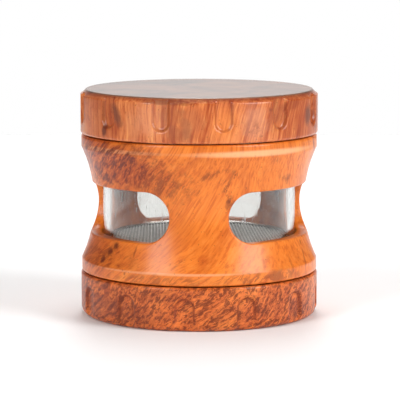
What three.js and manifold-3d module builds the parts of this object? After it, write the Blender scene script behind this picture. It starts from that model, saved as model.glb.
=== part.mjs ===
// Four-part drum grinder for dried herbs and spices, about 63 mm across and 60 mm tall.
// A fluted lid turns over a grinding plate set in a waisted body. The body has three windows
// over a glass sleeve, a pollen screen screws in under the sleeve, and a fluted cup screws on below.
// Millimetres, +Z up, origin at the centre of the base's underside. The front is the -Y side.

import * as THREE from "three";
import { mergeVertices } from "three/addons/utils/BufferGeometryUtils.js";
import Module from "manifold-3d";

const wasm = await Module();
wasm.setup();

// Clearances between pieces that touch or run on each other
const restGap = 0.3; // face to face, and round a piece in its pocket
const threadClearance = 0.2; // between a ridge and its groove, on every side
const boreStep = 0.2; // from one stepped bore to the next
const toothGap = 0.7; // between neighbouring rings of teeth, and at their tips

// Outside
const gripRadius = 31.5; // lid and base cup
const bandInset = 0.2; // the body's bands are a little smaller than the grips
const waistDepth = 3.3; // how far the waist is drawn in from the bands
const baseHeight = 11.55;
const bodyHeight = 36.3; // from seam to seam
const lidHeight = 11.65;
const bandHeight = 3.27; // straight band at each end of the body
const edgeRound = 0.6; // along both seams
const baseFillet = 2.3; // round the underside
const lidChamfer = 1.4; // round the top

// Grip flutes
const fluteCount = 12;
const lidFlute = { floorWidth: 3, slope: 1, depth: 0.9, margin: 2.65, azimuth: 11.7 };
const baseFlute = { floorWidth: 3.6, slope: 1.3, depth: 0.8, margin: 2.5, azimuth: -6.9 };

// Windows
const windowCount = 3;
const windowHalfSpan = 44; // degrees
const windowSillRise = 10.25; // above the body's foot
const windowTopDrop = 12.85; // below the body's top

// Screw threads
const threadPitch = 1.5;
const ridgeHeight = 0.6;
const ridgeRootWidth = 0.75;
const ridgeCrestWidth = 0.35;
const ridgeBite = 0.25; // how far a ridge is rooted in its cylinder
const neckTurns = 1.75;
const screenTurns = 1.25;
const grooveLeadTurns = 0.125; // how far a groove runs on past its ridge's ends

// Walls and floors
const baseWall = 2.4; // outside the cup's thread
const cupFloor = 2.2;
const cupFillet = 1.5;
const neckWall = 1.4;
const neckLength = 4.45;
const threadLeadIn = 0.9; // from a threaded end to the middle of its first ridge
const lidTopThickness = 3;
const collarWall = 1.4;
const skirtClearance = 0.5; // lid skirt round the plate's collar

// Glass sleeve and what holds it
const sleeveWall = 1.8;
const lipWidth = 1.3; // how far the lip reaches in over the sleeve
const lipThickness = 3.5;
const gasketThickness = 0.7;
const gasketWidth = 1;

// Pollen screen
const screenDrop = 2; // frame top below the window sill
const frameHeight = 5.5;
const frameWall = 2.9;
const meshThickness = 0.3;
const retainerHeight = 0.4;
const retainerWidth = 0.6;

// Grinding plate, teeth and magnets
const plateSink = 4.45; // plate seat below the body's top
const plateThickness = 3.2;
const bossRadius = 7;
const bossGap = 0.7;
const toothWidth = 3.6; // across the tooth, along its ring
const toothRoot = 1; // how far a tooth is rooted in its plate
const lidTeeth = [6, 10, 14]; // in the first, third and fifth ring
const plateTeeth = [8, 12]; // in the second and fourth ring
const dropHoles = [8, 12, 12]; // in the first, third and fourth ring
const holeMargin = 0.2;
const glideRingThickness = 0.7;
const magnetRadius = 5;
const magnetThickness = 1.8;
const magnetSink = 0.1;
const screwShankRadius = 1.2;
const screwHeadRadius = 2.6;
const screwLength = 4.5;
const screwHeadHeight = 1.2;
const recessWidth = 0.7;
const recessDepth = 0.6;

// Seal ring in the body's underside
const sealHeight = 0.9;
const sealWidth = 0.8;
const sealInset = 0.9; // from the cup's bore to the ring

// Facets
const roundSegments = 36;
const ringSegments = 30;
const smallSegments = 20;
const holeSegments = 8;

// Levels along the axis. The body and the lid are modelled from their own feet.
const bodyFoot = baseHeight + restGap;
const lidFoot = bodyFoot + bodyHeight + restGap;
const windowSill = windowSillRise;
const windowTop = bodyHeight - windowTopDrop;
const frameTop = windowSill - screenDrop;
const frameFoot = frameTop - frameHeight;
const sleeveFoot = frameTop + restGap + gasketThickness + restGap;
const plateSeat = bodyHeight - plateSink;
const lipFoot = plateSeat - lipThickness;
const sleeveTop = lipFoot - restGap - gasketThickness - restGap;
const plateFoot = plateSeat + restGap;
const plateFloor = plateFoot + plateThickness;
const lidCeiling = lidHeight - lidTopThickness;
const ceilingOverBody = lidFoot - bodyFoot + lidCeiling;
const collarTop = ceilingOverBody - restGap - glideRingThickness - restGap;
const bossTop = (plateFloor + ceilingOverBody - bossGap) / 2;
const lidBossFoot = bossTop + bossGap + bodyFoot - lidFoot;

// Radii, from the outside in
const bandRadius = gripRadius - bandInset;
const waistRadius = bandRadius - waistDepth;
const cupGrooveRadius = gripRadius - baseWall;
const neckRadius = cupGrooveRadius - threadClearance - ridgeHeight;
const cupBore = neckRadius + threadClearance;
const reliefBore = neckRadius - neckWall;
const screenGrooveRadius = reliefBore - boreStep;
const frameRadius = screenGrooveRadius - threadClearance - ridgeHeight;
const screenBore = frameRadius + threadClearance;
const sleeveBore = screenBore - boreStep;
const sleeveRadius = sleeveBore - restGap;
const sleeveInside = sleeveRadius - sleeveWall;
const lipRadius = sleeveRadius - lipWidth;
const frameInside = frameRadius - frameWall;
const collarRadius = neckRadius;
const plateBore = collarRadius + restGap;
const collarInside = collarRadius - collarWall;
const skirtRadius = collarRadius + skirtClearance;
const gasketInside = sleeveRadius - gasketWidth;
const sealInside = cupBore + sealInset;
const toothRings = lidTeeth.length + plateTeeth.length;
const ringPitch = (collarInside - bossRadius) / (toothRings + 1);
const toothLength = ringPitch - toothGap;
const holeRadius = (ringPitch + toothGap) / 2 - holeMargin;
const pocketRadius = magnetRadius + restGap;
const pilotRadius = screwShankRadius + restGap;

const degrees = Math.PI / 180;
const overcut = 2; // how far a cutter runs past the face that it opens

// ---- Shapes ----

function solidOf(geometry) {
  const bare = geometry.clone();
  bare.deleteAttribute("normal");
  bare.deleteAttribute("uv");
  const merged = mergeVertices(bare, 1e-4);
  const mesh = new wasm.Mesh({
    numProp: 3,
    vertProperties: new Float32Array(merged.attributes.position.array),
    triVerts: new Uint32Array(merged.index.array),
  });
  return new wasm.Manifold(mesh);
}

function geometryOf(solid) {
  const mesh = solid.getMesh();
  const geometry = new THREE.BufferGeometry();
  geometry.setAttribute("position", new THREE.BufferAttribute(mesh.vertProperties, 3));
  geometry.setIndex(new THREE.BufferAttribute(mesh.triVerts, 1));
  geometry.computeVertexNormals();
  return geometry;
}

// Points of an arc in a section, as [radius, height] pairs. Angles run from +radius towards +height.
function arc(centre, radius, from, to, steps) {
  return Array.from({ length: steps + 1 }, (_, i) => {
    const angle = (from + ((to - from) * i) / steps) * degrees;
    return [centre[0] + radius * Math.cos(angle), centre[1] + radius * Math.sin(angle)];
  });
}

// A section of [radius, height] pairs, anticlockwise, turned about Z. Azimuth 0 is the front.
function turned(section, segments = roundSegments) {
  const points = section.map(([radius, height]) => new THREE.Vector2(radius, height));
  return solidOf(new THREE.LatheGeometry(points, segments).rotateX(Math.PI / 2));
}

function ring(inside, outside, foot, top, segments = ringSegments) {
  const section = [
    [inside, foot],
    [outside, foot],
    [outside, top],
    [inside, top],
    [inside, foot],
  ];
  return turned(section, segments);
}

function disc(radius, foot, top, segments) {
  const section = [
    [0, foot],
    [radius, foot],
    [radius, top],
    [0, top],
  ];
  return turned(section, segments);
}

// Outward and sideways directions at an azimuth, which runs from the front towards +X.
function outward(azimuth) {
  return new THREE.Vector3(Math.sin(azimuth), -Math.cos(azimuth), 0);
}

function sideways(azimuth) {
  return new THREE.Vector3(Math.cos(azimuth), Math.sin(azimuth), 0);
}

// Bends a geometry round the axis. place turns its x, y, z into a radius, azimuth and height.
function wrapped(geometry, place) {
  const position = geometry.attributes.position;
  for (let i = 0; i < position.count; i++) {
    const { radius, azimuth, height } = place(position.getX(i), position.getY(i), position.getZ(i));
    const at = outward(azimuth).multiplyScalar(radius);
    position.setXYZ(i, at.x, at.y, height);
  }
  return solidOf(geometry);
}

// A right-hand thread ridge between two radii. grow widens it into the cutter of its groove.
function helix(inner, outer, startHeight, turns, grow, inwardBite, outwardBite) {
  const root = ridgeRootWidth / 2 + grow;
  const crest = ridgeCrestWidth / 2 + grow;
  const slope = (root - crest) / (outer - inner);
  const shape = new THREE.Shape([
    new THREE.Vector2(inner - inwardBite, -root - slope * inwardBite),
    new THREE.Vector2(outer + outwardBite, -crest + slope * outwardBite),
    new THREE.Vector2(outer + outwardBite, crest - slope * outwardBite),
    new THREE.Vector2(inner - inwardBite, root + slope * inwardBite),
  ]);
  const sweep = turns * 2 * Math.PI;
  const steps = Math.round(turns * roundSegments);
  const bar = new THREE.ExtrudeGeometry(shape, { depth: sweep, steps, bevelEnabled: false });
  const facetShift = Math.PI / roundSegments; // keeps its sections off the cylinders' edges
  return wrapped(bar, (x, y, z) => {
    const azimuth = sweep - z + facetShift;
    return { radius: x, azimuth, height: startHeight + y + (threadPitch * azimuth) / (2 * Math.PI) };
  });
}

// The groove for a ridge that starts at the same height: it begins whole steps earlier and ends later.
function helixGroove(inner, outer, startHeight, turnsBefore, turnsAfter) {
  const groove = helix(
    inner,
    outer,
    startHeight - turnsBefore * threadPitch,
    turnsBefore + turnsAfter,
    threadClearance,
    ridgeBite,
    0,
  );
  return groove.rotate([0, 0, (-turnsBefore * 360) % 360]);
}

// A U-shaped flute with sloping walls, closed at its round end. up is 1 if it runs out upwards.
function fluteCutter(flute, radius, endHeight, openHeight, azimuth) {
  const half = flute.floorWidth / 2;
  const up = Math.sign(openHeight - endHeight);
  const centre = endHeight + up * (half + flute.slope);
  const open = openHeight + up * overcut;
  const shape = new THREE.Shape();
  shape.moveTo(-half, open);
  shape.lineTo(-half, centre);
  shape.absarc(0, centre, half, Math.PI, up > 0 ? 2 * Math.PI : 0, up < 0);
  shape.lineTo(half, open);
  const cutter = new THREE.ExtrudeGeometry(shape, {
    depth: overcut,
    curveSegments: 6,
    bevelEnabled: true,
    bevelThickness: flute.depth,
    bevelSize: flute.slope,
    bevelSegments: 1,
  });
  const frame = new THREE.Matrix4();
  frame.makeBasis(sideways(azimuth), new THREE.Vector3(0, 0, 1), outward(azimuth));
  frame.setPosition(outward(azimuth).multiplyScalar(radius));
  return solidOf(cutter.applyMatrix4(frame));
}

function withFlutes(solid, flute, endHeight, openHeight) {
  let fluted = solid;
  for (let i = 0; i < fluteCount; i++) {
    const azimuth = (flute.azimuth + (i * 360) / fluteCount) * degrees;
    fluted = fluted.subtract(fluteCutter(flute, gripRadius, endHeight, openHeight, azimuth));
  }
  return fluted;
}

// A window with full-round ends, cut square to the axis.
function windowCutter(azimuth) {
  const endRadius = (windowTop - windowSill) / 2;
  const middle = (windowTop + windowSill) / 2;
  const halfLength = windowHalfSpan * degrees * waistRadius - endRadius;
  const straightSteps = 12;
  const shape = new THREE.Shape();
  shape.moveTo(-halfLength, -endRadius);
  for (let i = 1; i <= straightSteps; i++) {
    shape.lineTo(-halfLength + (2 * halfLength * i) / straightSteps, -endRadius);
  }
  shape.absarc(halfLength, 0, endRadius, -Math.PI / 2, Math.PI / 2, false);
  for (let i = 1; i <= straightSteps; i++) {
    shape.lineTo(halfLength - (2 * halfLength * i) / straightSteps, endRadius);
  }
  shape.absarc(-halfLength, 0, endRadius, Math.PI / 2, (3 * Math.PI) / 2, false);
  const inner = sleeveBore - overcut;
  const depth = gripRadius + overcut - inner;
  const slab = new THREE.ExtrudeGeometry(shape, { depth, curveSegments: 8, bevelEnabled: false });
  return wrapped(slab, (x, y, z) => {
    return { radius: inner + z, azimuth: azimuth + x / waistRadius, height: middle + y };
  });
}

// A diamond tooth that stands in its ring with the long diagonal along the ring.
function tooth(ringRadius, azimuth, foot, top) {
  const shape = new THREE.Shape([
    new THREE.Vector2(-toothLength / 2, 0),
    new THREE.Vector2(0, -toothWidth / 2),
    new THREE.Vector2(toothLength / 2, 0),
    new THREE.Vector2(0, toothWidth / 2),
  ]);
  const prism = new THREE.ExtrudeGeometry(shape, { depth: top - foot, bevelEnabled: false });
  const frame = new THREE.Matrix4();
  frame.makeBasis(outward(azimuth), sideways(azimuth), new THREE.Vector3(0, 0, 1));
  frame.setPosition(outward(azimuth).multiplyScalar(ringRadius).setZ(foot));
  return solidOf(prism.applyMatrix4(frame));
}

function toothRingRadius(index) {
  return bossRadius + (index + 1) * ringPitch;
}

// A ring of count teeth. They start half a space off the +X axis when offset is 0.5.
function withTeeth(solid, ringIndex, count, offset, foot, top) {
  let toothed = solid;
  for (let i = 0; i < count; i++) {
    const azimuth = Math.PI / 2 + ((i + offset) * 2 * Math.PI) / count;
    toothed = toothed.add(tooth(toothRingRadius(ringIndex), azimuth, foot, top));
  }
  return toothed;
}

function withDropHoles(solid, ringIndex, count, offset) {
  let pierced = solid;
  const drill = new THREE.CylinderGeometry(
    holeRadius,
    holeRadius,
    plateThickness + 2 * overcut,
    holeSegments,
  ).rotateX(Math.PI / 2);
  for (let i = 0; i < count; i++) {
    const azimuth = Math.PI / 2 + ((i + offset) * 2 * Math.PI) / count;
    const at = outward(azimuth).multiplyScalar(toothRingRadius(ringIndex));
    const moved = drill.clone().translate(at.x, at.y, plateFoot + plateThickness / 2);
    pierced = pierced.subtract(solidOf(moved));
  }
  return pierced;
}

// ---- Pieces ----

function baseCup() {
  const filletCentre = [gripRadius - baseFillet, baseFillet];
  const rimCentre = [gripRadius - edgeRound, baseHeight - edgeRound];
  const cornerCentre = [cupBore - cupFillet, cupFloor + cupFillet];
  const section = [
    [0, 0],
    ...arc(filletCentre, baseFillet, -90, 0, 4),
    ...arc(rimCentre, edgeRound, 0, 90, 2),
    [cupBore, baseHeight],
    ...arc(cornerCentre, cupFillet, 0, -90, 2),
    [0, cupFloor],
  ];
  const ridgeStart = bodyFoot - neckLength + threadLeadIn;
  const turnsOut = (baseHeight - ridgeStart) / threadPitch + 0.5; // out through the cup's rim
  const groove = helixGroove(neckRadius, cupGrooveRadius, ridgeStart, grooveLeadTurns, turnsOut);
  const cup = turned(section).subtract(groove);
  return withFlutes(cup, baseFlute, baseHeight - baseFlute.margin, 0);
}

function sealRing() {
  return ring(sealInside, sealInside + sealWidth, 0, sealHeight);
}

function waistBody() {
  const flareHalf = bodyHeight / 2 - bandHeight;
  const flareRadius = (flareHalf ** 2 + waistDepth ** 2) / (2 * waistDepth);
  const flareAngle = Math.asin(flareHalf / flareRadius) / degrees;
  const section = [
    [neckRadius, 0],
    ...arc([bandRadius - edgeRound, edgeRound], edgeRound, -90, 0, 2),
    ...arc([waistRadius + flareRadius, bodyHeight / 2], flareRadius, 180 + flareAngle, 180 - flareAngle, 8),
    ...arc([bandRadius - edgeRound, bodyHeight - edgeRound], edgeRound, 0, 90, 2),
    [plateBore, bodyHeight],
    [plateBore, plateSeat],
    [lipRadius, plateSeat],
    [lipRadius, lipFoot],
    [sleeveBore, lipFoot],
    [sleeveBore, frameTop],
    [screenBore, frameTop],
    [screenBore, frameFoot],
    [reliefBore, frameFoot],
    [reliefBore, -neckLength],
    [neckRadius, -neckLength],
    [neckRadius, 0],
  ];
  let body = turned(section);
  const neckRidge = helix(
    neckRadius,
    neckRadius + ridgeHeight,
    threadLeadIn - neckLength,
    neckTurns,
    0,
    ridgeBite,
    0,
  );
  body = body.add(neckRidge);
  const screenRidgeStart = frameFoot + threadLeadIn;
  body = body.subtract(
    helixGroove(frameRadius, screenGrooveRadius, screenRidgeStart, 1, screenTurns + grooveLeadTurns),
  );
  const sealRoom = ring(
    sealInside - restGap,
    sealInside + sealWidth + restGap,
    -overcut,
    sealHeight + restGap,
  );
  body = body.subtract(sealRoom);
  for (let i = 0; i < windowCount; i++) {
    body = body.subtract(windowCutter(((i + 0.5) * 2 * Math.PI) / windowCount));
  }
  return body;
}

// A countersunk ring magnet. Its open face is at height 0 and it lies above or below it.
function magnet(up) {
  const deep = up * magnetThickness;
  const section = [
    [pilotRadius, deep],
    [pilotRadius, up * (screwHeadHeight + restGap)],
    [screwHeadRadius + restGap, 0],
    [magnetRadius, 0],
    [magnetRadius, deep],
    [pilotRadius, deep],
  ];
  return turned(up > 0 ? section : section.toReversed(), smallSegments);
}

// A countersunk cross-head screw. Its head's face is at height 0 and its shank runs up or down.
function screw(up) {
  const section = [
    [0, 0],
    [screwHeadRadius, 0],
    [screwShankRadius, up * screwHeadHeight],
    [screwShankRadius, up * screwLength],
    [0, up * screwLength],
  ];
  let made = turned(up > 0 ? section : section.toReversed(), smallSegments);
  for (const turn of [0, Math.PI / 2]) {
    const arm = new THREE.BoxGeometry(screwHeadRadius, recessWidth, 2 * recessDepth).rotateZ(turn);
    made = made.subtract(solidOf(arm));
  }
  return made;
}

function grindingPlate() {
  const pocketFloor = bossTop - magnetSink - magnetThickness - restGap;
  const pilotFoot = bossTop - magnetSink - screwLength - restGap;
  const section = [
    [0, plateFoot],
    [collarRadius, plateFoot],
    [collarRadius, collarTop],
    [collarInside, collarTop],
    [collarInside, plateFloor],
    [bossRadius, plateFloor],
    [bossRadius, bossTop],
    [pocketRadius, bossTop],
    [pocketRadius, pocketFloor],
    [pilotRadius, pocketFloor],
    [pilotRadius, pilotFoot],
    [0, pilotFoot],
  ];
  let plate = turned(section);
  const rooted = plateFloor - toothRoot;
  plate = withTeeth(plate, 1, plateTeeth[0], 0.5, rooted, ceilingOverBody - toothGap);
  plate = withTeeth(plate, 3, plateTeeth[1], 0, rooted, ceilingOverBody - toothGap);
  plate = withDropHoles(plate, 0, dropHoles[0], 0);
  plate = withDropHoles(plate, 2, dropHoles[1], 0);
  return withDropHoles(plate, 3, dropHoles[2], 0.5);
}

// The screen frame, with its foot at height 0.
function screenFrame() {
  const frame = ring(frameInside, frameRadius, 0, frameHeight, roundSegments);
  return frame.add(
    helix(frameRadius, frameRadius + ridgeHeight, threadLeadIn, screenTurns, 0, ridgeBite, 0),
  );
}

function lid() {
  const pocketTop = lidBossFoot + magnetSink + magnetThickness + restGap;
  const pilotTop = lidBossFoot + magnetSink + screwLength + restGap;
  const section = [
    [0, pilotTop],
    [pilotRadius, pilotTop],
    [pilotRadius, pocketTop],
    [pocketRadius, pocketTop],
    [pocketRadius, lidBossFoot],
    [bossRadius, lidBossFoot],
    [bossRadius, lidCeiling],
    [skirtRadius, lidCeiling],
    [skirtRadius, 0],
    ...arc([gripRadius - edgeRound, edgeRound], edgeRound, -90, 0, 2),
    [gripRadius, lidHeight - lidChamfer],
    [gripRadius - lidChamfer, lidHeight],
    [0, lidHeight],
  ];
  let cap = withFlutes(turned(section), lidFlute, lidFlute.margin, lidHeight);
  const rooted = lidCeiling + toothRoot;
  const tips = plateFloor + bodyFoot - lidFoot + toothGap;
  lidTeeth.forEach((count, i) => {
    cap = withTeeth(cap, 2 * i, count, 0.5, tips, rooted);
  });
  return cap;
}

// ---- Finishes ----

function finish(color, roughness, metalness) {
  return new THREE.MeshStandardMaterial({ color, roughness, metalness });
}

const burlPrint = { color: "#c8693a", roughness: 0.28, metalness: 0 };
const satinAlloy = { color: "#b9bab8", roughness: 0.35, metalness: 1 };
const nickel = { color: "#c9c8c4", roughness: 0.18, metalness: 1 };
const steelWire = { color: "#a9aaa6", roughness: 0.3, metalness: 1 };
const nylon = { color: "#e6e2d8", roughness: 0.5, metalness: 0 };
const silicone = { color: "#3a3a3a", roughness: 0.6, metalness: 0 };
const clearGlass = { color: "#dfe3e0", roughness: 0.05, metalness: 0 };

function piece(name, solid, look, height = 0) {
  const material = finish(look.color, look.roughness, look.metalness);
  const mesh = new THREE.Mesh(geometryOf(solid), material);
  mesh.name = name;
  mesh.position.z = height;
  return mesh;
}

// ---- Assembly ----

const base = new THREE.Group();
base.add(piece("base_cup", baseCup(), burlPrint));

const screen = new THREE.Group();
screen.position.z = frameFoot;
const meshFoot = frameHeight + restGap;
const meshSolid = disc(gasketInside - restGap, 0, meshThickness, ringSegments);
const retainerRadius = sleeveInside - restGap;
const retainerSolid = ring(retainerRadius - retainerWidth, retainerRadius, 0, retainerHeight);
screen.add(
  piece("screen_frame", screenFrame(), satinAlloy),
  piece("screen_mesh", meshSolid, steelWire, meshFoot),
  piece("screen_retainer", retainerSolid, nickel, meshFoot + meshThickness + restGap),
);

const body = new THREE.Group();
body.position.z = bodyFoot;
const gasketSolid = ring(gasketInside, sleeveRadius, 0, gasketThickness);
const sleeveSolid = ring(sleeveInside, sleeveRadius, 0, sleeveTop - sleeveFoot, roundSegments);
const magnetFace = bossTop - magnetSink;
body.add(
  piece("body_seal_ring", sealRing(), silicone),
  piece("waist_body", waistBody(), burlPrint),
  piece("grinding_plate", grindingPlate(), satinAlloy),
  piece("plate_magnet", magnet(-1), nickel, magnetFace),
  piece("plate_magnet_screw", screw(-1), nickel, magnetFace),
  piece("upper_sleeve_gasket", gasketSolid, silicone, sleeveTop + restGap),
  piece("window_sleeve", sleeveSolid, clearGlass, sleeveFoot),
  piece("lower_sleeve_gasket", gasketSolid, silicone, frameTop + restGap),
  screen,
);

const cover = new THREE.Group();
cover.position.z = lidFoot;
const glideSolid = ring(collarInside, collarRadius, 0, glideRingThickness);
const lidMagnetFace = lidBossFoot + magnetSink;
cover.add(
  piece("glide_ring", glideSolid, nylon, lidCeiling - restGap - glideRingThickness),
  piece("lid", lid(), burlPrint),
  piece("lid_magnet", magnet(1), nickel, lidMagnetFace),
  piece("lid_magnet_screw", screw(1), nickel, lidMagnetFace),
);

const group = new THREE.Group();
group.add(base, body, cover);
export default group;
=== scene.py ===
import math

import bmesh
import bpy
from mathutils import Matrix, Vector


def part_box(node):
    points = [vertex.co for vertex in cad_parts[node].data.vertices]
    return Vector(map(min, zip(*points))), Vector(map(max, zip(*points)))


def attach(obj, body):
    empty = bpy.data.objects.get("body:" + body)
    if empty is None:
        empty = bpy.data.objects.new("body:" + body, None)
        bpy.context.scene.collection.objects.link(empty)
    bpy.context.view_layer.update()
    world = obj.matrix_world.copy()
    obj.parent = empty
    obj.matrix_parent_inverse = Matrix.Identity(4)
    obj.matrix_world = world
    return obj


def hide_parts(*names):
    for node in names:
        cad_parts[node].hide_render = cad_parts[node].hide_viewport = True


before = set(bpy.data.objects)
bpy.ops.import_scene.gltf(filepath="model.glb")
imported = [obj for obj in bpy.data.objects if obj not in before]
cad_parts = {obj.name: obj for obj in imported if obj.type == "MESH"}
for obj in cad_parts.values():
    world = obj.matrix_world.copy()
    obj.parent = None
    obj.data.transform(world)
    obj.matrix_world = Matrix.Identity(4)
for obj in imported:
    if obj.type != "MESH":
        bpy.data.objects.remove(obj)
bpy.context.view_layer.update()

mm = 0.001
degrees = math.pi / 180
nodeBox = {name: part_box(name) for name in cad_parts}


def foot(node):
    return nodeBox[node][0].z / mm


def top(node):
    return nodeBox[node][1].z / mm


def reach(node):
    return -nodeBox[node][0].y / mm


# Helpers for shapes

def arc(centre, radius, start, end, steps):  # (radius, height) points in mm, angles from +radius to +height
    points = []
    for i in range(steps + 1):
        angle = (start + (end - start) * i / steps) * degrees
        points.append((centre[0] + radius * math.cos(angle), centre[1] + radius * math.sin(angle)))
    return points


def dense(profile, spacing):  # cuts long straight runs into short ones
    points = [profile[0]]
    for a, b in zip(profile, profile[1:]):
        cuts = max(1, math.ceil(math.dist(a, b) / spacing))
        points += [(a[0] + (b[0] - a[0]) * i / cuts, a[1] + (b[1] - a[1]) * i / cuts)
                   for i in range(1, cuts + 1)]
    return points


def spun(profile, steps, closed=False):  # turns a section about the drum's axis
    shape = bmesh.new()
    verts = [shape.verts.new((radius * mm, 0, height * mm)) for radius, height in profile]
    edges = [shape.edges.new(pair) for pair in zip(verts, verts[1:])]
    if closed:
        edges.append(shape.edges.new((verts[-1], verts[0])))
    bmesh.ops.spin(shape, geom=verts + edges, cent=(0, 0, 0), axis=(0, 0, 1), dvec=(0, 0, 0),
                   angle=2 * math.pi, steps=steps, use_merge=True, use_duplicate=False)
    return shape


def ringSection(inner, outer, low, high, bevel):  # a rectangle with rounded corners
    corners = [((outer - bevel, low + bevel), -90), ((outer - bevel, high - bevel), 0),
               ((inner + bevel, high - bevel), 90), ((inner + bevel, low + bevel), 180)]
    points = []
    for centre, start in corners:
        turned = arc(centre, bevel, start, start + 90, 4)
        before, after = start * degrees, (start + 90) * degrees
        close = 0.06  # mm of flat beside each corner, which keeps the long faces' shading flat
        points.append((turned[0][0] + close * math.sin(before), turned[0][1] - close * math.cos(before)))
        points += turned
        points.append((turned[-1][0] - close * math.sin(after), turned[-1][1] + close * math.cos(after)))
    return points


def tidied(shape):  # welds doubles and faces everything outwards
    bmesh.ops.remove_doubles(shape, verts=shape.verts, dist=0.0015 * mm)
    bmesh.ops.recalc_face_normals(shape, faces=shape.faces)
    return shape


def addPart(shape, part):  # joins a separate shell to a shape
    spare = bpy.data.meshes.new("spare")
    part.to_mesh(spare)
    part.free()
    shape.from_mesh(spare)
    bpy.data.meshes.remove(spare)


def azimuthOf(co):  # from the front towards +X
    return math.atan2(co.x, -co.y)


def smoothStep(low, high, value):
    share = min(1, max(0, (value - low) / (high - low)))
    return share * share * (3 - 2 * share)


def setRadius(co, radius):
    flat = math.hypot(co.x, co.y)
    co.x *= radius / flat
    co.y *= radius / flat


def made(name, shape, body, material, replaced, sharpAngle=38):
    data = bpy.data.meshes.new(name)
    shape.to_mesh(data)
    shape.free()
    data.polygons.foreach_set("use_smooth", [True] * len(data.polygons))
    data.set_sharp_from_angle(angle=sharpAngle * degrees)
    data.materials.append(material)
    obj = bpy.data.objects.new(name, data)
    bpy.context.scene.collection.objects.link(obj)
    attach(obj, body)
    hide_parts(*replaced)
    return obj


# Helpers for materials

def hexColour(code):  # sRGB hex to linear
    parts = [int(code[i:i + 2], 16) / 255 for i in (1, 3, 5)]
    return [c / 12.92 if c <= 0.04045 else ((c + 0.055) / 1.055) ** 2.4 for c in parts] + [1]


def addNode(tree, kind, inputs=None, stops=None, **settings):  # an input is a value, a socket or a node
    node = tree.nodes.new("ShaderNode" + kind)
    for key, value in settings.items():
        setattr(node, key, value)
    for key, value in (inputs or {}).items():
        if isinstance(value, bpy.types.Node):
            value = value.outputs[0]
        if isinstance(value, bpy.types.NodeSocket):
            tree.links.new(value, node.inputs[key])
        else:
            node.inputs[key].default_value = value
    for i, (position, colour) in enumerate(stops or []):  # a ramp's, each a position and a hex colour
        elements = node.color_ramp.elements
        element = elements[i] if i < len(elements) else elements.new(position)
        element.position = position
        element.color = hexColour(colour)
    return node


def newMaterial(name, inputs=None):  # inputs are the shader's own constants
    material = bpy.data.materials.new(name)
    material.use_nodes = True
    tree = material.node_tree
    tree.nodes.clear()
    shader = addNode(tree, "BsdfPrincipled", inputs)
    addNode(tree, "OutputMaterial", {0: shader})
    coords = addNode(tree, "TexCoord").outputs["Object"]
    return material, tree, shader, coords


# Burl-wood water-transfer print on die-cast zinc alloy, under clear lacquer: warm mottled orange with
# fine fibres, and a soft clear gloss that shows the lights as broad pale bands. Some of its colour is
# painted
# light: highlights along the body's creases, sheen and shade on the lid, and shade on the flutes' walls.
burl = {
    "fibreWidth": 0.7,    # mm
    "fibreLength": 13,    # how much longer than wide a fibre is
    "fleckSize": 0.5,     # mm
    "clumpSize": 1.7,     # mm, what the flecks gather into
    "dustColour": "#5a2412",
    # painted shade on the flutes' walls
    "wallShadeColour": "#7a3217",
    "lacquerRough": 0.24,
    "printRough": 0.4,
}


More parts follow.
